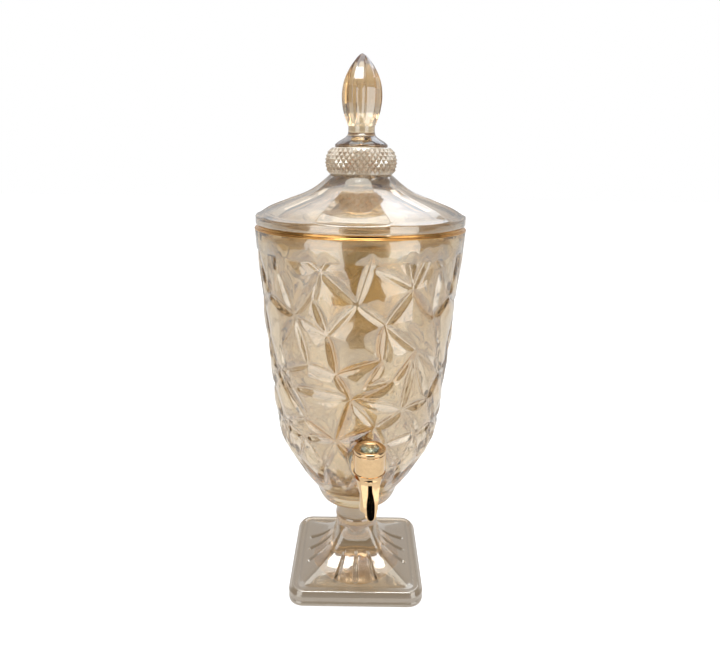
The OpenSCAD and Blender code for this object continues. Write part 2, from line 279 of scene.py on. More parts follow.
def noise(tree, scale, detail=3.0, roughness=0.5):
    """Object-space noise; scale is in features per metre."""
    coords = tree.nodes.new("ShaderNodeTexCoord")
    texture = tree.nodes.new("ShaderNodeTexNoise")
    texture.inputs["Scale"].default_value = scale
    texture.inputs["Detail"].default_value = detail
    texture.inputs["Roughness"].default_value = roughness
    tree.links.new(coords.outputs["Object"], texture.inputs["Vector"])
    return texture.outputs["Fac"]


def ramp(tree, value, stops):
    """A colour ramp from (position, colour) stops."""
    node = tree.nodes.new("ShaderNodeValToRGB")
    elements = node.color_ramp.elements
    while len(elements) < len(stops):
        elements.new(0.5)
    for element, (position, colour) in zip(elements, stops):
        element.position = position
        element.color = (*colour, 1)
    tree.links.new(value, node.inputs["Fac"])
    return node.outputs["Color"]


def bump(tree, shader, height, strength, distance):
    """Fine relief from a height socket; distance is in metres."""
    node = tree.nodes.new("ShaderNodeBump")
    node.inputs["Strength"].default_value = strength
    node.inputs["Distance"].default_value = distance
    tree.links.new(height, node.inputs["Height"])
    tree.links.new(node.outputs["Normal"], shader.inputs["Normal"])


def remap(tree, value, low, high):
    """A 0 to 1 socket, stretched to run from low to high."""
    node = tree.nodes.new("ShaderNodeMapRange")
    node.inputs["To Min"].default_value = low
    node.inputs["To Max"].default_value = high
    tree.links.new(value, node.inputs["Value"])
    return node.outputs["Result"]


def blend(tree, share, below, above):
    """One colour over another; share is a socket, and above a plain colour."""
    mix = tree.nodes.new("ShaderNodeMix")
    mix.data_type = "RGBA"
    tree.links.new(share, mix.inputs[0])
    tree.links.new(below, mix.inputs[6])
    mix.inputs[7].default_value = (*above, 1)
    return mix.outputs[2]


def mark(tree, name):
    """The values that a piece's mesh carries under this name."""
    node = tree.nodes.new("ShaderNodeAttribute")
    node.attribute_name = name
    return node.outputs["Fac"]


GLASS_IOR = 1.5
LUSTRE_IOR = 1.8
COAT_IOR, COAT_ROUGHNESS = 2.0, 0.2


def glass(name, tint, shade, absorb, density, roughness=0.03, film=66.0, lustre=(0.97, 0.91, 0.82),
          coat=0.6, marks=(), clear=1.0):
    """Pressed glass with a fired lustre: a thin pearly film over tinted glass that absorbs a little.

    tint and shade are the two ends of its uneven colour, absorb and density what it takes from light on the
    way through, and film the lustre's thickness in nanometres. marks are (mark on the mesh, colour there,
    strength); clear is the share of light that isn't scattered.
    """
    mat, tree, shader, out = material(name)
    colour = ramp(tree, noise(tree, 22.0), [(0.3, shade), (0.7, tint)])
    for where, stained, strength in marks:
        colour = blend(tree, remap(tree, mark(tree, where), 0, strength), colour, stained)
    tree.links.new(colour, shader.inputs["Base Color"])
    smears = remap(tree, noise(tree, 260.0), roughness * 0.6, roughness * 1.8)
    tree.links.new(smears, shader.inputs["Roughness"])
    shader.inputs["Transmission Weight"].default_value = clear
    shader.inputs["IOR"].default_value = GLASS_IOR
    shader.inputs["Coat Weight"].default_value = coat
    shader.inputs["Coat Roughness"].default_value = COAT_ROUGHNESS
    shader.inputs["Coat IOR"].default_value = COAT_IOR
    shader.inputs["Coat Tint"].default_value = (*lustre, 1)
    uneven_film = remap(tree, noise(tree, 14.0, 2.0), film * 0.6, film * 1.6)
    tree.links.new(uneven_film, shader.inputs["Thin Film Thickness"])
    shader.inputs["Thin Film IOR"].default_value = LUSTRE_IOR
    bump(tree, shader, noise(tree, 90.0, 2.0), 0.12, 0.0006)
    volume = tree.nodes.new("ShaderNodeVolumeAbsorption")
    volume.inputs["Color"].default_value = (*absorb, 1)
    volume.inputs["Density"].default_value = density
    tree.links.new(volume.outputs["Volume"], out.inputs["Volume"])
    return mat


def metal(name, colour, worn, roughness, scale=500.0, wave=0.02):
    """Polished or turned metal: faint wear in colour, roughness and surface."""
    mat, tree, shader, _ = material(name)
    wear = noise(tree, scale, 4.0, 0.6)
    tree.links.new(ramp(tree, wear, [(0.35, worn), (0.65, colour)]), shader.inputs["Base Color"])
    tree.links.new(remap(tree, wear, roughness * 0.6, roughness * 1.6), shader.inputs["Roughness"])
    shader.inputs["Metallic"].default_value = 1.0
    bump(tree, shader, noise(tree, scale * 0.4, 2.0), wave, 0.0004)
    return mat


def rubber(name, colour, shade, roughness, through=0.0):
    """Moulded rubber with a fine grain; through is how much light passes under its skin."""
    mat, tree, shader, _ = material(name)
    grain = noise(tree, 900.0, 4.0)
    tree.links.new(ramp(tree, grain, [(0.3, shade), (0.7, colour)]), shader.inputs["Base Color"])
    tree.links.new(remap(tree, grain, roughness * 0.85, roughness * 1.15), shader.inputs["Roughness"])
    shader.inputs["Subsurface Weight"].default_value = through
    shader.inputs["Subsurface Scale"].default_value = 0.002
    bump(tree, shader, grain, 0.15, 0.0002)
    return mat


# Painted shade: this brown darkens the glass along cut edges, ridges, flutes and the collar's valleys.
PAINTED_SHADE_BROWN = (0.42, 0.30, 0.20)
MATERIALS = {
    # The near-white mark colours below are a painted pearly sheen.
    "lustre_glass": glass(
        "lustre_glass", (0.90, 0.82, 0.655), (0.83, 0.745, 0.56), (0.82, 0.69, 0.43), 11.0,
        marks=[("painted_sheen", (0.98, 0.97, 0.99), 0.85), ("amber_cell", (0.86, 0.63, 0.32), 1.0),
               ("stain", (0.78, 0.52, 0.22), 0.9), ("painted_edge_shade", PAINTED_SHADE_BROWN, 0.62)]),
    "knob_glass": glass(
        "knob_glass", (1.0, 0.92, 0.75), (0.97, 0.86, 0.64), (0.86, 0.66, 0.36), 14.0, coat=0.15,
        marks=[("painted_sheen", (1, 0.99, 0.97), 0.9), ("stain", (0.86, 0.62, 0.32), 0.9),
               ("painted_edge_shade", PAINTED_SHADE_BROWN, 0.7)]),
    "collar_glass": glass(
        "collar_glass", (1.0, 0.92, 0.76), (0.98, 0.87, 0.68), (0.90, 0.74, 0.46), 6.0, coat=0.15, clear=0.55,
        marks=[("painted_edge_shade", (0.52, 0.36, 0.22), 0.85)]),
    "clear_adhesive": glass("clear_adhesive", (1, 0.98, 0.93), (0.97, 0.95, 0.9), (0.95, 0.9, 0.8), 5.0),
    "crystal": glass(
        "crystal", (0.93, 0.97, 0.93), (0.86, 0.92, 0.88), (0.62, 0.78, 0.70), 70.0, roughness=0.005,
        film=0.0, lustre=(1, 1, 1), coat=0.3),
    "gold_plate": metal("gold_plate", (0.74, 0.51, 0.28), (0.67, 0.45, 0.24), 0.06, 420.0),
    "gilding": metal("gilding", (0.80, 0.46, 0.17), (0.58, 0.30, 0.09), 0.22, 60.0, 0.0),
    "steel": metal("steel", (0.72, 0.71, 0.69), (0.58, 0.57, 0.56), 0.24, 700.0, 0.1),
    "silicone": rubber("silicone", (0.60, 0.54, 0.45), (0.52, 0.46, 0.38), 0.5, 0.3),
    "black_rubber": rubber("black_rubber", (0.035, 0.035, 0.035), (0.02, 0.02, 0.02), 0.45),
}


def paint(piece, slot):
    """Gives the piece this slot's material and no other."""
    piece.data.materials.clear()
    piece.data.materials.append(MATERIALS[slot])


# ------------------------------
# The bowl: a smooth urn with leaf-shaped cuts that meet at points

WALL_T = 6.5
STEM_R = 20.8
CUP_BOTTOM_Z, CUP_TOP_Z, WELL_Z = 86, 101, 105
BOWL_SIDE = smooth([(40.5, CUP_TOP_Z), (57.6, 125), (72.1, 150), (79.3, 176), (87, 260), (RIM_R, RIM_Z)], 4)
BOWL_CUP = smooth([(STEM_R, CUP_BOTTOM_Z), (34.3, 88.2), (38.9, 95), (40.5, CUP_TOP_Z)], 4)
BOWL_INSIDE = smooth([(0, WELL_Z), (25, 108), (40, 118), (51, 128), (65.2, 150), (72.8, 178), (80.5, 260),
                      (RIM_R - WALL_T, RIM_Z - 1.2)], 3)

# Where the cuts meet: degrees round from the front, and height. The pattern repeats three times.
POINTS = {
    "a": (-36, 350), "b": (-20, 331), "c": (-1, 305), "d": (14, 288), "e": (29, 316), "f": (7, 333),
    "g": (8, 350), "h": (-38, 291), "i": (-60, 303), "j": (-17, 278), "k": (-13, 244), "l": (-5, 222),
    "m": (34, 263), "n": (-44, 223), "o": (60, 234), "p": (45, 289), "q": (-14, 181), "r": (27, 209),
    "s": (-34, 197), "t": (60, 303), "u": (-60, 234), "v": (13, 257), "w": (40, 348), "x": (-54, 350),
    "y": (-12, 352), "z": (24, 352), "A": (-60, 184), "B": (60, 184), "C": (10, 196), "D": (42, 181),
    "E": (17, 176), "F": (-38, 178), "G": (-24, 150), "H": (2, 148), "I": (30, 150), "J": (-50, 150),
    "K": (52, 150), "L": (-36, 122), "M": (-10, 120), "N": (16, 122), "O": (40, 120), "P": (-60, 126),
    "Q": (60, 126), "R": (3, 233), "S": (-30, 250), "T": (20, 238), "U": (48, 212), "V": (-52, 262),
    "W": (52, 262), "X": (-48, 325), "Y": (48, 330), "Z": (-24, 306),
}
# Each cut joins two points. The third value bends it to the side, in millimetres, and the fourth says
# whether it is stained a deeper amber.
CUTS = [
    ("a", "b", 0, 0), ("b", "c", 0, 0), ("c", "d", 0, 0), ("d", "e", 0, 0), ("e", "w", 2, 0),
    ("f", "e", 2, 0), ("c", "g", 0, 0), ("b", "h", 2, 0), ("b", "y", 0, 0), ("j", "c", 2, 0),
    ("j", "k", 1, 1), ("k", "l", 1, 1), ("d", "m", 0, 0), ("d", "v", -3, 1), ("e", "p", -2, 1),
    ("m", "o", 0, 0), ("m", "T", 2, 1), ("T", "l", 3, 1), ("k", "v", 1, 1), ("k", "S", 0, 0),
    ("S", "u", 0, 0), ("n", "l", 4, 0), ("n", "s", 2, 0), ("n", "u", 0, 0), ("i", "h", 0, 0),
    ("h", "j", 0, 0), ("h", "V", 2, 0), ("V", "n", -2, 0), ("x", "i", 3, 0), ("X", "h", 0, 0),
    ("x", "X", 0, 0), ("p", "t", 0, 0), ("p", "W", 2, 0), ("W", "o", 0, 0), ("Y", "p", -2, 0),
    ("w", "Y", 0, 0), ("Y", "t", 0, 0), ("z", "e", 0, 0), ("l", "r", 3, 0), ("m", "U", -2, 0),
    ("r", "m", 0, 0), ("r", "U", 0, 0), ("U", "o", 0, 0), ("l", "q", 2, 1), ("s", "q", -2, 1),
    ("s", "A", 0, 0), ("u", "s", 0, 0), ("l", "C", 0, 0), ("C", "r", -2, 0), ("q", "C", 0, 1),
    ("r", "D", 2, 0), ("U", "B", 2, 0), ("D", "B", 0, 0), ("C", "E", 0, 0), ("E", "D", 2, 0),
    ("F", "q", 2, 0), ("A", "F", 0, 0), ("F", "G", 0, 0), ("q", "G", 0, 0), ("q", "H", 2, 1),
    ("E", "H", 0, 0), ("E", "I", 0, 0), ("D", "I", 0, 0), ("D", "K", 0, 0), ("B", "K", 0, 0),
    ("A", "J", 0, 0), ("F", "J", 0, 0), ("J", "P", 0, 0), ("J", "L", 0, 0), ("G", "L", 0, 0),
    ("G", "M", 0, 0), ("H", "M", 0, 0), ("H", "N", 0, 0), ("I", "N", 0, 0), ("I", "O", 0, 0),
    ("K", "O", 0, 0), ("K", "Q", 0, 0), ("R", "T", 0, 0), ("Z", "j", 0, 0), ("b", "Z", -2, 0),
    ("S", "h", -2, 0), ("v", "R", 2, 1),
]
PATTERN_TURNS = 3
SECTOR = 2 * math.pi / PATTERN_TURNS
# A leaf cut's size; one shorter than LEAF_FULL_L is narrower and shallower too.
LEAF_HALF_W, LEAF_DEPTH, LEAF_FULL_L = 4.6, 2.9, 26
LEAF_TIP_HALF_W = 0.25
# The painted shade along each cut's edge has this width.
EDGE_SHADE_W = 0.8
# The glass between the cuts swells this much, over this distance from them.
PILLOW, PILLOW_REACH = 1.2, 11.0
# The amber patch in each repeat: degrees round from the front to its middle, where it begins and ends to
# either side, and between which heights it comes in.
AMBER_TURN, AMBER_HALF, AMBER_Z = 4, (14, 22), (270, 292)
# The cuts fade in above the cup and out below the rim.
CUTS_FADE_IN, CUTS_FADE_OUT = 12, (7, 3)
# Below this height the side slopes so much that a cut goes upward as well as inward.
SLOPE_TOP_Z, SLOPE_RISE = 170, 0.25


def side_radius(height):
    """The bowl's radius before it is cut."""
    side = np.array(BOWL_SIDE)
    return np.interp(height, side[:, 1], side[:, 0])


def leaf_cuts(a, r, z):
    """The leaf cuts at every point of the bowl's side: depth, distance clear of them, the painted shade along
    their edges, and stain.
    """
    depth, edge, stain = np.zeros_like(r), np.zeros_like(r), np.zeros_like(r)
    clear = np.full_like(r, PILLOW_REACH)
    for first, second, bend, amber in CUTS:
        (a0, z0), (a1, z1) = POINTS[first], POINTS[second]
        a0, a1 = math.radians(a0), math.radians(a1)
        middle_r = float(side_radius((z0 + z1) / 2))
        along = np.array([middle_r * (a1 - a0), z1 - z0])
        length = np.linalg.norm(along)
        along /= length
        turn = (a - (a0 + a1) / 2 + SECTOR / 2) % SECTOR - SECTOR / 2
        x, y = turn * middle_r, z - (z0 + z1) / 2
        t = np.clip((x * along[0] + y * along[1]) / length + 0.5, 0, 1)
        lens = np.sqrt(4 * t * (1 - t))
        beyond = np.maximum(0, np.abs(x * along[0] + y * along[1]) - length / 2)
        across = np.hypot(np.abs(y * along[0] - x * along[1] - bend * lens), beyond)
        scale = min(1.0, length / LEAF_FULL_L)
        half = LEAF_HALF_W * scale * lens + LEAF_TIP_HALF_W
        inside = np.clip(1 - across / half, 0, 1)
        depth = np.maximum(depth, LEAF_DEPTH * scale * (0.25 + 0.75 * lens) * inside)
        # Painted shade: a dark band along the cut's edge.
        edge = np.maximum(edge, np.exp(-((across - half) / EDGE_SHADE_W) ** 2) * (0.3 + 0.7 * lens))
        if amber:
            stain = np.maximum(stain, smoothstep(inside, 0.0, 0.35))
        clear = np.minimum(clear, np.maximum(0, across - half))
    return depth, clear, edge, stain


def amber_cells(a, z):
    """A deeper amber: a tall patch in the upper part of each repeat of the pattern."""
    turn = (a - math.radians(AMBER_TURN) + SECTOR / 2) % SECTOR - SECTOR / 2
    across = 1 - smoothstep(np.abs(turn), *np.radians(AMBER_HALF))
    return across * smoothstep(z, *AMBER_Z)


def bowl_shape(a, r, z):
    """Cuts and swells the bowl's outside; marks a painted sheen in the cuts, painted shade along their edges,
    and the amber.
    """
    outside = np.zeros_like(r, bool)
    outside[:bowl_outer_rows] = True
    on_side = outside & (z > CUP_TOP_Z)
    fade_in = smoothstep(z, CUP_TOP_Z, CUP_TOP_Z + CUTS_FADE_IN)
    fade = fade_in * (1 - smoothstep(z, *(RIM_Z - drop for drop in CUTS_FADE_OUT))) * on_side
    depth, clear, edge, stain = leaf_cuts(a, r, z)
    pillow = PILLOW * (1 - smoothstep(clear, 0, PILLOW_REACH))
    cut = (depth + pillow) * fade
    marks = {"painted_sheen": depth * fade / LEAF_DEPTH, "painted_edge_shade": edge * fade, "stain": stain * fade,
             "amber_cell": amber_cells(a, z) * (depth <= 0) * on_side}
    return r - cut, z + np.where(z < SLOPE_TOP_Z, SLOPE_RISE * cut, 0), marks


stem = [(STEM_R - 0.6, BOWL_BOTTOM_Z), (STEM_R, BOWL_BOTTOM_Z + 0.6), (STEM_R, CUP_BOTTOM_Z - 1.4),
        (STEM_R + 0.8, CUP_BOTTOM_Z - 0.4)]
rim = [(RIM_R - 0.2, RIM_Z - 0.8), (RIM_R - 0.9, RIM_Z - 0.1), (RIM_R - 2.8, RIM_Z),
       (RIM_R - WALL_T + 1.2, RIM_Z)]
side_rows = evenly(BOWL_SIDE[:-1], 1.55)
outside_rows = np.vstack([evenly([*stem, *BOWL_CUP[1:]], 1.6), side_rows[1:]])
bowl_outer_rows = len(outside_rows) - 1
inside_rows = evenly([*rim, *BOWL_INSIDE[::-1][:-1]], 6)
bowl_rows = [(0, BOWL_BOTTOM_Z), *map(tuple, outside_rows), *map(tuple, inside_rows), (0, WELL_Z)]
bowl = turned("bowl_glass", bowl_rows, 500, "urn", ["bowl"], bowl_shape)
paint(bowl, "lustre_glass")

# The tap is clamped in a hole through a flat-faced boss.
OUTER_FACE_U, INNER_FACE_U, SHANK_END_U = 80.5, 66.5, 50
BOSS_R, HOLE_R = 16, 8.3
boolean(bowl, along_shank("tap_boss", BOSS_R, INNER_FACE_U, OUTER_FACE_U), "UNION")
boolean(bowl, along_shank("tap_spot_face", BOSS_R, SHANK_END_U, INNER_FACE_U), "DIFFERENCE")
boolean(bowl, along_shank("tap_hole", HOLE_R, SHANK_END_U, OUTER_FACE_U + 1), "DIFFERENCE")
open_below(bowl, BOWL_BOTTOM_Z)

# ------------------------------
# The lid: a tent of wide flat panels, a diamond-cut collar and a fluted bud

PANELS = 10
PANEL_RIDGE = math.radians(14)
PANEL_DEPTH, RIM_PANEL_DEPTH = 2.6, 0.7
EDGE_Z = RIM_Z + 2.5
# The panels begin at one height and have their full depth at the next; the upright edge below them is
# flattened around its middle.
PANELS_FROM_Z, PANELS_FULL_Z = EDGE_Z + 4, RIM_Z + 15
UPRIGHT_Z, UPRIGHT_HALF_H, UPRIGHT_MIN_R = EDGE_Z + 4.5, 3.4, 88
SEAT_R = RIM_R - 2.8
SKIRT_R = RIM_R - WALL_T - 1.2
SKIRT_T = 4
DOME_OUTSIDE = smooth([(91, RIM_Z + 11.5), (81, RIM_Z + 17.5), (65.5, RIM_Z + 23.5), (50, RIM_Z + 29.2),
                       (39.5, RIM_Z + 35), (27.2, DOME_TOP_Z)], 5)
DOME_INSIDE = smooth([(SKIRT_R - SKIRT_T, RIM_Z + 8), (74, RIM_Z + 14.5), (58, RIM_Z + 20.5),
                      (42, RIM_Z + 26.5), (28, RIM_Z + 34), (0, RIM_Z + 37)], 4)


def panel_fall(a, sides, ridge):
    """0 on a ridge and 1 in the middle of a panel, straight across as a flat panel is."""
    pitch = 2 * math.pi / sides
    off = np.abs((a - ridge + pitch / 2) % pitch - pitch / 2)
    middle = math.cos(pitch / 2)
    return (1 - middle / np.cos(pitch / 2 - off)) / (1 - middle)


def dome_shape(a, r, z):
    """Flattens the dome's outside into panels, and its edge a little with them."""
    outside = np.zeros_like(r, bool)
    outside[:dome_outer_rows] = True
    on_dome = outside & (z > PANELS_FROM_Z)
    on_edge = outside & (np.abs(z - UPRIGHT_Z) < UPRIGHT_HALF_H) & (r > UPRIGHT_MIN_R)
    fade_out = smoothstep(z, DOME_TOP_Z - 6, DOME_TOP_Z - 1)
    reach = smoothstep(z, PANELS_FROM_Z, PANELS_FULL_Z) * (1 - fade_out)
    fall = panel_fall(a, PANELS, PANEL_RIDGE)
    drop = np.where(on_dome, PANEL_DEPTH * fall * reach * np.sqrt(np.clip(r / 70, 0.1, 1)), 0)
    edge = np.where(on_edge, RIM_PANEL_DEPTH * fall, 0)
    # A painted sheen, evenly over the dome.
    return r - edge - 0.25 * drop, z - drop, {"painted_sheen": np.full_like(r, 0.6)}


dome_outer = evenly([*DOME_OUTSIDE[::-1], (LID_R - 0.4, EDGE_Z + 8.2),
                     (LID_R, EDGE_Z + 6.5), (LID_R, EDGE_Z + 1.2), (LID_R - 1.2, EDGE_Z)], 2.0)
dome_under = evenly([(LID_R - 1.2, EDGE_Z), (SEAT_R + 0.3, EDGE_Z), (SEAT_R, EDGE_Z - 0.3),
                     (SEAT_R, RIM_Z + 0.05), (SKIRT_R, RIM_Z + 0.05), (SKIRT_R, SKIRT_Z + 1),
                     (SKIRT_R - 1, SKIRT_Z), (SKIRT_R - SKIRT_T + 1, SKIRT_Z),
                     (SKIRT_R - SKIRT_T, SKIRT_Z + 1), *DOME_INSIDE], 4)
dome_outer_rows = len(dome_outer) - 1
dome = turned("lid_dome_glass", [*map(tuple, dome_outer[:-1]), *map(tuple, dome_under)], 480, "lid",
              ["lid_dome"], dome_shape)
paint(dome, "lustre_glass")

COLLAR_SIDE = smooth([(27.2, DOME_TOP_Z), (29.8, DOME_TOP_Z + 3.5), (31.1, DOME_TOP_Z + 9),
                      (31.1, DOME_TOP_Z + 13), (29.0, DOME_TOP_Z + 19), (25.5, FINIAL_Z)], 10)
FINIAL_R = 22
DIAMONDS, DIAMOND_ROWS = 36, 7
DIAMOND_PEAK, DIAMOND_VALLEY, VALLEY_SHADE = 0.5, 1.5, 0.7
COLLAR_BAND = (DOME_TOP_Z + 0.8, FINIAL_Z - 0.6)


def collar_mesh():
    """Crossing V cuts leave rows of small flat-sided pyramids, and plain edges above and below."""
    side = np.array(COLLAR_SIDE)
    columns = 2 * DIAMONDS
    heights = [DOME_TOP_Z, *np.linspace(*COLLAR_BAND, DIAMOND_ROWS + 1), FINIAL_Z, FINIAL_Z]
    co, valley_shades = [], []
    for j, z in enumerate(heights):
        plain = j <= 1 or j >= DIAMOND_ROWS + 1
        for i in range(columns):
            peak = (i + j) % 2 == 1
            r = FINIAL_R if j == len(heights) - 1 else np.interp(z, side[:, 1], side[:, 0])
            r += 0 if plain else DIAMOND_PEAK if peak else -DIAMOND_VALLEY
            turn = 2 * math.pi * i / columns
            co.append((r * math.sin(turn), -r * math.cos(turn), z))
            # Painted shade in the valleys between the pyramids.
            valley_shades.append(0 if plain or peak else VALLEY_SHADE)
    faces = []
    for j in range(len(heights) - 1):
        for i in range(columns):
            a, b = j * columns + i, j * columns + (i + 1) % columns
            c, d = b + columns, a + columns
            faces += [(a, b, d), (b, c, d)] if (i + j) % 2 else [(a, b, c), (a, c, d)]
    return co, faces, {"painted_edge_shade": np.array(valley_shades)}


collar_co, collar_faces, collar_marks = collar_mesh()
collar = mesh_piece("lid_collar_glass", collar_co, collar_faces, "lid", ["lid_collar"],
                    collar_marks)
collar.data.shade_flat()
paint(collar, "collar_glass")

BUD_Z = TIP_Z - 58
BUD = smooth([(11.4, BUD_Z), (13.6, TIP_Z - 53), (16.4, TIP_Z - 44), (17.5, TIP_Z - 33), (15.9, TIP_Z - 22),
              (11.4, TIP_Z - 12), (5.4, TIP_Z - 4), (2.2, TIP_Z - 0.9), (0, TIP_Z)], 8)
DISC = smooth([(23, FINIAL_Z + 2.5), (20, FINIAL_Z + 5), (12.5, FINIAL_Z + 10), (11.4, BUD_Z)], 6)
FLUTES = 10
FLUTE_RIDGE = math.radians(9)
FLUTE_SHARE = 0.085


def finial_shape(a, r, z):
    """Hollow flutes run up the bud, with a sharp ridge between each pair."""
    on_bud = smoothstep(z, BUD_Z + 1, BUD_Z + 8) * (1 - smoothstep(z, TIP_Z - 7, TIP_Z - 1))
    hollow = np.sqrt(np.clip(panel_fall(a, FLUTES, FLUTE_RIDGE), 0, 1))
    cut = FLUTE_SHARE * r * hollow * on_bud
    amber = smoothstep(z, BUD_Z + 12, BUD_Z + 22) * (1 - smoothstep(z, TIP_Z - 20, TIP_Z - 8))
    # Painted shade along the ridges between the flutes, and a painted sheen in the flutes.
    ridge_shade = (1 - smoothstep(hollow, 0.0, 0.45)) * on_bud
    marks = {"painted_sheen": hollow * on_bud * 0.4, "painted_edge_shade": ridge_shade, "stain": 0.4 + 0.5 * amber}
    return r - cut, z, marks


finial_rows = evenly([(FINIAL_R, FINIAL_Z), (22.9, FINIAL_Z + 0.8), *DISC, *BUD[1:]], 1.0)
finial = turned("finial_glass", [*map(tuple, finial_rows)], 240, "lid", ["finial"],
                finial_shape)
paint(finial, "knob_glass")

# ------------------------------
# The foot: a stepped square slab, a hollow-sided pyramid with three flutes on each side, and a round stem

SLAB_T = 15.5
CORNER_R = 15.3
PYRAMID_TOP_Z = 53
PYRAMID_H = 38
PYRAMID_W = 33.2
ROUND_FROM_Z = 58
RECESS_R, RECESS_H = 38, 13
# Each side's flutes run outward between two distances from the axis; each has its outer and inner end's
# place across that side.
FLUTE_FROM, FLUTE_TO = 27, 50
FLUTE_ENDS = [(-20, -12), (0, 0), (20, 12)]
FLUTE_DEPTH, FLUTE_HALF_W = 2.6, 1.6
# The slab's edge from below, as distance in from its widest and height, and its step and border on top
SLAB_EDGE = [(6, 0), (1.4, 0), (0.3, 0.9), (0, 2.2), (0, 4.2), (0.9, 4.9), (0.9, 5.6), (0.2, 6.3), (0, 10.6),
             (0.5, 11.6), (1.9, 12.3), (2.6, 14.4), (3.6, SLAB_T - 0.2), (5, SLAB_T), (6.4, SLAB_T),
             (7.2, SLAB_T - 0.7), (8.2, SLAB_T - 0.9), (9.6, SLAB_T - 0.9)]
FOOT_STEM = [(STEM_R, 59), (STEM_R, 62.6), (STEM_R + 0.5, 63.2), (STEM_R + 0.5, 64.6),
             (STEM_R - 0.4, FOOT_TOP_Z)]
FOOT_COLUMNS = 640
# Painted shade: darker bands along the ridges up to a height, round the slab's edge at two heights, and round
# its border at two distances in from the widest
RIDGE_SHADE_TOP_Z, RIDGE_SHADE_W = 50, 1.3
EDGE_SHADES_Z, BORDER_SHADES_IN = (5.2, 12), (5.2, 9.6)


def slab_radius(a, inset):
    """Distance from the axis to a rounded square, at angle a."""
    half, corner = FOOT_HALF - inset, max(CORNER_R - inset, 0.5)
    c, s = np.abs(np.cos(a)), np.abs(np.sin(a))
    flat = half / np.maximum(c, s)
    centre = half - corner
    along = centre * (c + s)
    rounded = along + np.sqrt(np.maximum(along ** 2 - 2 * centre ** 2 + corner ** 2, 0))
    reach = np.minimum(c, s) * flat
    return np.where(reach <= centre, flat, rounded)


def pyramid_radius(a, z):
    """Distance from the axis to the hollow-sided pyramid, which is square below and round at its top."""
    half = STEM_R + PYRAMID_W * (max(0, PYRAMID_TOP_Z - z) / PYRAMID_H) ** 2.5
    square = 2 + 14 * (max(0, ROUND_FROM_Z - z) / (ROUND_FROM_Z - SLAB_T)) ** 1.3
    return half / (np.abs(np.cos(a)) ** square + np.abs(np.sin(a)) ** square) ** (1 / square)


def flute_depth(x, y):
    """V flutes on the four sides, wider and deeper outward, with blunt ends."""
    depth = np.zeros_like(x)
    for turn in range(4):
        c, s = math.cos(turn * math.pi / 2), math.sin(turn * math.pi / 2)
        out, across = x * c + y * s, y * c - x * s
        for outer, inner in FLUTE_ENDS:
            t = (out - FLUTE_FROM) / (FLUTE_TO - FLUTE_FROM)
            middle = inner + (outer - inner) * t
            half = FLUTE_HALF_W * (1 + np.clip(t, 0, 1))
            ends = smoothstep(t, -0.08, 0.06) * (1 - smoothstep(t, 0.94, 1.06))
            depth = np.maximum(depth, ends * FLUTE_DEPTH * np.clip(1 - np.abs(across - middle) / half, 0, 1))
    return depth


def foot_rings(a):
    """Each ring's distance from the axis and height, from the recess under the foot to its stem."""
    level = np.ones_like(a)
    dome_r = (RECESS_R ** 2 + RECESS_H ** 2) / (2 * RECESS_H)
    rings = [(r * level, (RECESS_H - dome_r + math.sqrt(dome_r ** 2 - r ** 2)) * level)
             for r in (6, 14, 22, 30, 35, RECESS_R - 0.6)]
    rings.append(((RECESS_R + 0.6) * level, 0 * level))
    rings += [(slab_radius(a, inset), z * level) for inset, z in SLAB_EDGE]
    fine, coarse = np.arange(SLAB_T - 0.2, 30, 0.5), np.arange(30, ROUND_FROM_Z, 1.0)
    rings += [(pyramid_radius(a, z), z * level) for z in (*fine, *coarse)]
    rings += [(r * level, z * level) for r, z in FOOT_STEM]
    return np.array([ring[0] for ring in rings]), np.array([ring[1] for ring in rings])


def foot_painted_shade(x, y, z, cut):
    """How strong the painted shade is: dark bands along the ridges, edges and border, and the whole of each
    flute.
    """
    off_ridge = np.abs(np.abs(x) - np.abs(y)) / math.sqrt(2)
    on_pyramid = (z > SLAB_T + 0.5) & (z < RIDGE_SHADE_TOP_Z)
    ridge_shade = np.where(on_pyramid, np.exp(-(off_ridge / RIDGE_SHADE_W) ** 2), 0)
    inset = FOOT_HALF - np.maximum(np.abs(x), np.abs(y))
    border_shade = sum(np.exp(-((inset - line) / 0.5) ** 2) for line in BORDER_SHADES_IN)
    on_top = np.abs(z - SLAB_T) < 1.6
    painted_edge_shade = sum(np.abs(z - line) < 0.5 for line in EDGE_SHADES_Z)
    return np.maximum.reduce([0.55 * ridge_shade, 0.6 * border_shade * on_top, 0.5 * painted_edge_shade,
                              smoothstep(cut, 0.1, 1.0)])


def foot_mesh():
    a = np.linspace(0, 2 * math.pi, FOOT_COLUMNS, endpoint=False) + math.pi / FOOT_COLUMNS
    r, z = foot_rings(a)
    x, y = r * np.sin(a), -r * np.cos(a)
    cut = np.where((z > SLAB_T - 1) & (z < 40), flute_depth(x, y), 0)
    co = np.vstack([np.stack([x, y, z - cut], axis=-1).reshape(-1, 3), [(0, 0, RECESS_H)]])
    # The foot gets the painted sheen evenly, and painted shade in bands and flutes.
    marks = {"painted_sheen": np.full_like(x, 0.75), "painted_edge_shade": foot_painted_shade(x, y, z, cut),
             "stain": np.full_like(x, 0.6)}
    return co, turned_faces(len(r), FOOT_COLUMNS, True, False), marks


foot_co, foot_faces, foot_marks = foot_mesh()
foot = mesh_piece("foot_glass", foot_co, foot_faces, "urn", ["foot"], foot_marks)
paint(foot, "lustre_glass")

# ------------------------------
# The gilded line where the lid sits on the rim

GILDING = [(RIM_R - 0.1, RIM_Z - 1.3), (RIM_R, RIM_Z - 0.7), (RIM_R - 0.7, RIM_Z + 0.12),
           (SEAT_R + 0.6, RIM_Z + 0.3), (SEAT_R + 0.5, EDGE_Z - 0.2), (SEAT_R + 0.08, EDGE_Z - 0.1),
           (SEAT_R + 0.08, RIM_Z + 0.05), (RIM_R - 1.0, RIM_Z - 0.05), (RIM_R - 0.5, RIM_Z - 1.3)]


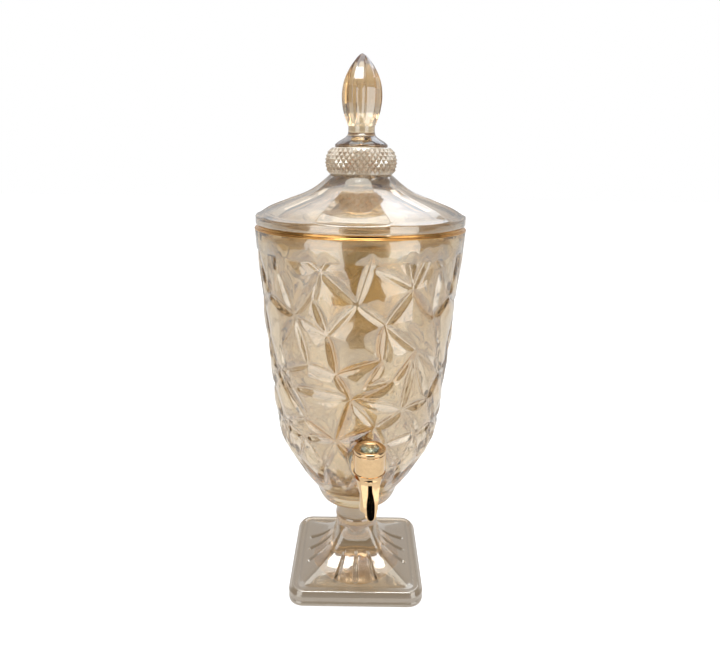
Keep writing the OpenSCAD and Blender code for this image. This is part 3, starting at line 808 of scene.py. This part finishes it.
def gilding_piece():
    """A closed ring of the gilding's section of (radius, height) about +Z."""
    section, columns = evenly(GILDING, 0.8), 360
    rows = len(section)
    co = [(r * math.sin(a), -r * math.cos(a), z) for r, z in section
          for a in np.linspace(0, 2 * math.pi, columns, endpoint=False)]
    faces = [(i * columns + k, i * columns + (k + 1) % columns,
              (i + 1) % rows * columns + (k + 1) % columns, (i + 1) % rows * columns + k)
             for i in range(rows) for k in range(columns)]
    return mesh_piece("rim_gilding", co, faces, "urn")


paint(gilding_piece(), "gilding")

# ------------------------------
# The tap's lever: a half-round hood over the chamber, whose front runs down into a tongue

HOOD_R, HOOD_INNER_R = 13.2, 11.1
HOOD_BOTTOM_Z = SHANK_Z + 6
HOOD_CEILING_Z = PIVOT_Z + 5.5
HOOD_TOP_Z = PIVOT_Z + 8
HOOD_EDGE = 0.6
PIVOT_U = CHAMBER_U - 9.5
CHEEK_R, PIN_R = 5.8, 1.5
LUG_T, LUG_SIDE, LUG_BACK, LUG_L, LUG_DROP = 2, 3.2, 3.5, 8, 2.1
SLOT_HALF, SLOT_BACK, SLOT_TRAVEL = 1.35, 0.1, 1.1
BEZEL_R, BEZEL_H = 13.4, 3.6
STONE_R, STONE_SEAT = 7.4, 1.6


def block(name, low, high):
    """A box between two corners of the tap's own (u, v, z)."""
    co = [(u, v, z) for u in (low[0], high[0]) for v in (low[1], high[1]) for z in (low[2], high[2])]
    faces = [(0, 1, 3, 2), (4, 6, 7, 5), (0, 4, 5, 1), (2, 3, 7, 6), (0, 2, 6, 4), (1, 5, 7, 3)]
    return tap_mesh(name, co, faces)


def upright(name, outline, columns=96):
    """A closed body turned about the chamber's axis from (radius, height) points that start and end on it."""
    grid = outline[1:-1]
    co = [(CHAMBER_U + r * math.cos(2 * math.pi * k / columns), r * math.sin(2 * math.pi * k / columns), z)
          for r, z in grid for k in range(columns)]
    co += [(CHAMBER_U, 0, outline[0][1]), (CHAMBER_U, 0, outline[-1][1])]
    return tap_mesh(name, co, turned_faces(len(grid), columns, True, True))


def hood_outline():
    """Half of the hood's section, with its edges rounded."""
    e = HOOD_EDGE
    rounded = [(1 - math.cos(t), 1 - math.sin(t)) for t in np.linspace(math.pi / 2, 0, 5)]
    bottom = [(HOOD_R - e * a, HOOD_BOTTOM_Z + e * b) for b, a in rounded]
    top = [(HOOD_R - e * a, HOOD_TOP_Z - e * b) for b, a in rounded[::-1]]
    return [(0, HOOD_BOTTOM_Z), *bottom, *top, (0, HOOD_TOP_Z)]


# The tongue from the hood down: height, half width, how far out its face is along the middle, and the
# half width of the flat facet there.
TONGUE = smooth([
    (169.8, 9.1, 117.8, 0.15), (167, 8.8, 117.1, 0.2), (163.5, 8.2, 116.5, 0.25), (160.5, 7.7, 116.8, 0.4),
    (157, 7.2, 117.4, 1.0), (153, 6.7, 118.1, 2.1), (147, 6.1, 119.1, 3.2), (141, 5.3, 120.2, 3.2),
    (137, 4.6, 121.0, 2.9)], 8)
TONGUE_T = 1.7
# To the sides of the facet the face is crowned, with this radius at first and flatter towards the edges.
CROWN_R, CROWN_EASE = 6.0, 7.5
LIP_HOLLOW_Z, LIP_HOLLOW_H, LIP_HOLLOW_W, LIP_HOLLOW_DEPTH = 167.2, 2.3, 5.8, 1.3


def crown_drop(v):
    """How far a crowned strip falls away at v from its middle."""
    return v ** 2 / (2 * CROWN_R) / (1 + (v / CROWN_EASE) ** 2)


def tongue_front(v, z, middle_u, facet):
    """How far out the tongue's face is: a crowned strip with a flat facet, hollowed just under the hood."""
    hollow = max(0, 1 - (v / LIP_HOLLOW_W) ** 2) * max(0, 1 - abs(z - LIP_HOLLOW_Z) / LIP_HOLLOW_H)
    return middle_u - max(0, crown_drop(v) - crown_drop(facet)) - LIP_HOLLOW_DEPTH * hollow ** 0.5


def tongue_mesh():
    """The tongue as a closed loft of rings, each across it at one height; its tip is rounded."""
    across = np.linspace(-1, 1, 41)
    z, half, middle_u, facet = (np.array(TONGUE)[:, i] for i in range(4))
    tip = [(z[-1] - 0.8 * half[-1] * math.sin(t), half[-1] * math.cos(t), middle_u[-1] + math.sin(t),
            facet[-1] * math.cos(t)) for t in np.linspace(0, math.pi / 2, 10)[1:-1]]
    co = []
    rows = [*zip(z, half, middle_u, facet), *tip]
    for row_z, row_half, row_u, row_facet in rows:
        vs = across * row_half
        front = [(tongue_front(v, row_z, row_u, row_facet), v, row_z) for v in vs]
        edge = TONGUE_T * np.sqrt(np.clip(1 - across ** 8, 0, 1))
        back = [(u - t, v, row_z) for (u, v, _), t in zip(front, np.maximum(edge, 0.25))]
        co += [*front, *back[::-1]]
    columns = 2 * len(across)
    first, last = np.mean(co[:columns], axis=0), np.mean(co[-columns:], axis=0)
    co = [*co, tuple(first), (last[0], last[1], last[2] - 0.1)]
    return co, turned_faces(len(rows), columns, True, True)


def hood_piece():
    """The half-round shell, open below and behind."""
    hood = upright("lever_gold", hood_outline())
    below = HOOD_BOTTOM_Z - 5
    cavity = [(0, below), (HOOD_INNER_R, below), (HOOD_INNER_R, HOOD_CEILING_Z), (0, HOOD_CEILING_Z)]
    back = (CHAMBER_U - 20, -20, below), (CHAMBER_U, 20, HOOD_CEILING_Z)
    boolean(hood, upright("hood_cavity", cavity), "DIFFERENCE")
    boolean(hood, block("hood_back", *back), "DIFFERENCE")
    return hood


def add_cheek(lever, side):
    """A round-ended wall that carries the pivot pin, at one side of the hood."""
    inner, outer = sorted((side * HOOD_INNER_R, side * HOOD_R))
    wall = (PIVOT_U, inner, PIVOT_Z - CHEEK_R), (CHAMBER_U + 0.5, outer, PIVOT_Z + CHEEK_R)
    boolean(lever, block("cheek", *wall), "UNION")
    boolean(lever, crosswise("cheek_end", CHEEK_R, PIVOT_U, PIVOT_Z, inner, outer), "UNION")


def add_lug(lever, side):
    """A lug under the hood's ceiling, with the slot that lifts the valve's cross pin."""
    near, far = sorted((side * LUG_SIDE, side * (LUG_SIDE + LUG_T)))
    lug_u, slot_u = CHAMBER_U - LUG_BACK, CHAMBER_U - SLOT_BACK
    lug = (lug_u, near, PIVOT_Z - LUG_DROP), (lug_u + LUG_L, far, HOOD_CEILING_Z + 0.5)
    slot = (slot_u, near - 1, PIVOT_Z - SLOT_HALF), (slot_u + SLOT_TRAVEL, far + 1, PIVOT_Z + SLOT_HALF)
    boolean(lever, block("lug", *lug), "UNION")
    for u in (slot_u, slot_u + SLOT_TRAVEL):
        boolean(lever, crosswise("slot_end", SLOT_HALF, u, PIVOT_Z, near - 1, far + 1), "DIFFERENCE")
    boolean(lever, block("slot", *slot), "DIFFERENCE")


def lever_piece():
    lever = hood_piece()
    for side in (-1, 1):
        add_cheek(lever, side)
        add_lug(lever, side)
    boolean(lever, crosswise("pin_hole", PIN_R, PIVOT_U, PIVOT_Z, -20, 20), "DIFFERENCE")
    boolean(lever, tap_mesh("tongue", *tongue_mesh()), "UNION")
    return lever


def dress(piece, body, slot, replaces, sharp_from=40):
    """Smooth shading up to an angle, a body, a slot and a material for a piece of the tap."""
    piece.data.shade_smooth()
    piece.data.set_sharp_from_angle(angle=math.radians(sharp_from))
    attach(piece, body)
    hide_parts(*replaces)
    paint(piece, slot)


def bezel_piece():
    """The ring round the stone: rounded outside, sloping in to the stone's seat."""
    z0, z1 = HOOD_TOP_Z, HOOD_TOP_Z + BEZEL_H
    outside = [(BEZEL_R - 0.6, z0), (BEZEL_R, z0 + 0.6), (BEZEL_R, z1 - 1.5), (BEZEL_R - 0.35, z1 - 0.6),
               (BEZEL_R - 1.1, z1 - 0.1), (BEZEL_R - 2.0, z1)]
    inside = [(STONE_R + 2.0, z1 - 0.7), (STONE_R + 0.7, z1 - 1.5), (STONE_R + 0.5, z0 + STONE_SEAT)]
    return upright("bezel_gold", [(0, z0), *outside, *inside, (0, z0 + STONE_SEAT)], 120)


def stone_piece():
    """A brilliant cut: a girdle, eight kite facets with smaller ones between them, and a flat table."""
    z0 = HOOD_TOP_Z + STONE_SEAT
    rings = [(STONE_R, 0.05, 0), (STONE_R, 1.1, 0), (STONE_R * 0.8, 2.2, 0.5), (STONE_R * 0.52, 3.0, 0)]
    sides = 8
    pitch = 2 * math.pi / sides
    co = [(CHAMBER_U + r * math.cos(pitch * (k + offset)), r * math.sin(pitch * (k + offset)), z0 + h)
          for r, h, offset in rings for k in range(sides)]
    faces = [(k, (k + 1) % sides, sides + (k + 1) % sides, sides + k) for k in range(sides)]
    for lower in (1, 2):
        for k in range(sides):
            a, b = lower * sides + k, lower * sides + (k + 1) % sides
            c, d = (lower + 1) * sides + k, (lower + 1) * sides + (k + 1) % sides
            faces += [(a, b, c), (b, d, c)] if lower == 1 else [(a, b, d), (a, d, c)]
    faces += [tuple(range(sides)), tuple(range(3 * sides, 4 * sides))]
    return tap_mesh("stone_crystal", co, faces)


SPRING_WIRE_R, SPRING_TURNS = 0.45, 5
WIRE_SIDES, STEPS_PER_TURN = 12, 40


def spring_mesh(low, high):
    """A coil of round wire between two heights round the chamber's axis."""
    coil_r = (high[0] - low[0]) / 2 - SPRING_WIRE_R
    z0, z1 = low[2] + SPRING_WIRE_R, high[2] - SPRING_WIRE_R
    rows = STEPS_PER_TURN * SPRING_TURNS + 1
    co = []
    for t in np.linspace(0, 1, rows):
        turn = 2 * math.pi * SPRING_TURNS * t + TAP_TURN
        for out, up in circle(SPRING_WIRE_R, WIRE_SIDES):
            r = coil_r + out
            co.append((CHAMBER_U + r * math.cos(turn), r * math.sin(turn), z0 + (z1 - z0) * t + up))
    first, last = np.mean(co[:WIRE_SIDES], axis=0), np.mean(co[-WIRE_SIDES:], axis=0)
    return [*co, tuple(first), tuple(last)], turned_faces(rows, WIRE_SIDES, True, True)


def spring_piece():
    """The return spring: its top stays under the bonnet."""
    low, high = box_mm("return_spring")
    spring = tap_mesh("spring_coil", *spring_mesh(low, high))
    dress(spring, "urn", "steel", ["return_spring"])
    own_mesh(spring)


spring_piece()
dress(lever_piece(), "lever", "gold_plate", ["lever"])
dress(bezel_piece(), "lever", "gold_plate", ["crystal_bezel"], 50)
dress(stone_piece(), "lever", "crystal", ["crystal"], 5)

# ------------------------------
# The CAD nodes that show as they are

for row in frame["record"]["subparts"]:
    paint(frame["nodes"][row["node"]], row["material_slot"])

# ------------------------------
# Floor, studio and camera

# Towards the unlit gap between the front softboxes, which shows as a dark lens in the polished tongue
DARK_GAP = (0.10, -0.96, -0.22)


def mixed_colours(tree, mode, first, second):
    """Two colour sockets, mixed in full by this blend mode."""
    node = tree.nodes.new("ShaderNodeMix")
    node.data_type = "RGBA"
    node.blend_type = mode
    node.inputs[0].default_value = 1
    tree.links.new(first, node.inputs[6])
    tree.links.new(second, node.inputs[7])
    return node.outputs[2]


def room_colour(tree):
    """A light tent behind the object and over it, and a dim room in front with a darker gap."""
    coords, split = tree.nodes.new("ShaderNodeTexCoord"), tree.nodes.new("ShaderNodeSeparateXYZ")
    tree.links.new(coords.outputs["Generated"], split.inputs[0])
    depth = tree.nodes.new("ShaderNodeMapRange")
    depth.inputs["From Min"].default_value = -1
    tree.links.new(split.outputs["Y"], depth.inputs["Value"])
    tent = ramp(tree, depth.outputs["Result"], [(0.0, (0.16, 0.155, 0.15)), (0.13, (0.14, 0.135, 0.13)),
                                                (0.55, (0.16, 0.155, 0.15)), (0.72, (0.54, 0.54, 0.55)),
                                                (1.0, (0.62, 0.62, 0.63))])
    ceiling = ramp(tree, split.outputs["Z"], [(0.45, (0, 0, 0)), (0.9, (0.35, 0.35, 0.36))])
    facing = tree.nodes.new("ShaderNodeVectorMath")
    facing.operation = "DOT_PRODUCT"
    facing.inputs[1].default_value = Vector(DARK_GAP).normalized()
    tree.links.new(coords.outputs["Generated"], facing.inputs[0])
    gap = ramp(tree, facing.outputs["Value"], [(0.915, (1, 1, 1)), (0.935, (0.02, 0.02, 0.02))])
    return mixed_colours(tree, "MULTIPLY", mixed_colours(tree, "LIGHTEN", tent, ceiling), gap)


def studio_world():
    """White to the camera, and the studio's room to everything else."""
    world = bpy.data.worlds.new("studio")
    bpy.context.scene.world = world
    world.use_nodes = True
    tree = world.node_tree
    tree.nodes.clear()
    out = tree.nodes.new("ShaderNodeOutputWorld")
    room, backdrop = tree.nodes.new("ShaderNodeBackground"), tree.nodes.new("ShaderNodeBackground")
    mix, path = tree.nodes.new("ShaderNodeMixShader"), tree.nodes.new("ShaderNodeLightPath")
    tree.links.new(room_colour(tree), room.inputs["Color"])
    backdrop.inputs["Color"].default_value = (1, 1, 1, 1)
    tree.links.new(path.outputs["Is Camera Ray"], mix.inputs[0])
    tree.links.new(room.outputs[0], mix.inputs[1])
    tree.links.new(backdrop.outputs[0], mix.inputs[2])
    tree.links.new(mix.outputs[0], out.inputs["Surface"])


def softbox(name, place, target, width, height, power, colour):
    """A lit rectangle, in metres, that faces a target."""
    light = bpy.data.lights.new(name, "AREA")
    light.shape = "RECTANGLE"
    light.size, light.size_y = width, height
    light.energy = power
    light.color = colour
    lamp = bpy.data.objects.new(name, light)
    lamp.location = place
    lamp.rotation_euler = (Vector(target) - Vector(place)).to_track_quat("-Z", "Y").to_euler()
    bpy.context.scene.collection.objects.link(lamp)


def overhead_sun(strength, spread):
    """Even light over the whole floor, so that it meets the backdrop without a line."""
    light = bpy.data.lights.new("overhead", "SUN")
    light.energy = strength
    light.angle = math.radians(spread)
    lamp = bpy.data.objects.new("overhead", light)
    bpy.context.scene.collection.objects.link(lamp)


# The floor ends behind the camera, so that polished faces turned that way show the dark room. It glows
# a little, and more to the camera.
FLOOR_FRONT, FLOOR_REACH = -0.6, 6
FLOOR_GLOW, FLOOR_GLOW_SEEN = 0.2, 0.5


def floor_piece():
    """A pale matt floor, as light as the backdrop."""
    mesh = bpy.data.meshes.new("floor")
    corners = [(-FLOOR_REACH, FLOOR_FRONT, 0), (FLOOR_REACH, FLOOR_FRONT, 0), (FLOOR_REACH, FLOOR_REACH, 0),
               (-FLOOR_REACH, FLOOR_REACH, 0)]
    mesh.from_pydata(corners, [], [(0, 1, 2, 3)])
    floor = bpy.data.objects.new("floor", mesh)
    bpy.context.scene.collection.objects.link(floor)
    mat, tree, shader, out = material("floor")
    tree.links.new(ramp(tree, noise(tree, 3.0), [(0.3, (0.60, 0.60, 0.60)), (0.7, (0.63, 0.63, 0.625))]),
                   shader.inputs["Base Color"])
    shader.inputs["Roughness"].default_value = 0.85
    shader.inputs["Specular IOR Level"].default_value = 0.1
    glow, path = tree.nodes.new("ShaderNodeEmission"), tree.nodes.new("ShaderNodeLightPath")
    whole, share = tree.nodes.new("ShaderNodeAddShader"), tree.nodes.new("ShaderNodeMath")
    share.operation = "MULTIPLY_ADD"
    share.inputs[1].default_value = FLOOR_GLOW_SEEN
    share.inputs[2].default_value = FLOOR_GLOW
    tree.links.new(path.outputs["Is Camera Ray"], share.inputs[0])
    tree.links.new(share.outputs[0], glow.inputs["Strength"])
    tree.links.new(shader.outputs[0], whole.inputs[0])
    tree.links.new(glow.outputs[0], whole.inputs[1])
    tree.links.new(whole.outputs[0], out.inputs["Surface"])
    mesh.materials.append(mat)


studio_world()
floor_piece()
overhead_sun(1.3, 60)
softbox("back_right", (0.42, 1.0, 1.35), (0, 0, 0.35), 0.6, 0.7, 2.4, (0.82, 0.89, 1.0))
softbox("back_left", (-0.5, 1.0, 1.25), (0, 0, 0.35), 0.6, 0.7, 0.9, (0.88, 0.93, 1.0))
softbox("front_top", (0, -0.75, 1.45), (0, -0.05, 0.1), 1.0, 0.6, 12, (0.88, 0.93, 1.0))
softbox("right", (0.62, -0.62, 0.31), (0, -0.1, 0.31), 0.5, 0.92, 2.7, (0.95, 0.96, 1.0))
softbox("left", (-0.50, -0.68, 0.31), (0, -0.1, 0.31), 0.55, 0.92, 2.7, (0.95, 0.96, 1.0))

CAMERA_PLACE = (0, -0.540, 0.4152)
CAMERA_PITCH, CAMERA_ROLL = 0.281, 0.013
CAMERA_SENSOR, CAMERA_LENS = 36, 29.64
CAMERA_SHIFT_X = 0.00144
CAMERA_CLIP_START = 0.01
camera_data = bpy.data.cameras.new("camera")
camera_data.sensor_width = CAMERA_SENSOR
camera_data.lens = CAMERA_LENS
camera_data.shift_x = CAMERA_SHIFT_X
camera_data.clip_start = CAMERA_CLIP_START
camera = bpy.data.objects.new("camera", camera_data)
camera.location = CAMERA_PLACE
turn = Matrix.Rotation(math.pi / 2 - CAMERA_PITCH, 3, "X") @ Matrix.Rotation(CAMERA_ROLL, 3, "Z")
camera.rotation_euler = turn.to_euler()
bpy.context.scene.collection.objects.link(camera)
bpy.context.scene.camera = camera

view = bpy.context.scene.view_settings
view.view_transform = "Standard"
view.look = "None"
cycles = bpy.context.scene.cycles
cycles.max_bounces = 24
cycles.transmission_bounces = 20
cycles.glossy_bounces = 8
cycles.transparent_max_bounces = 12
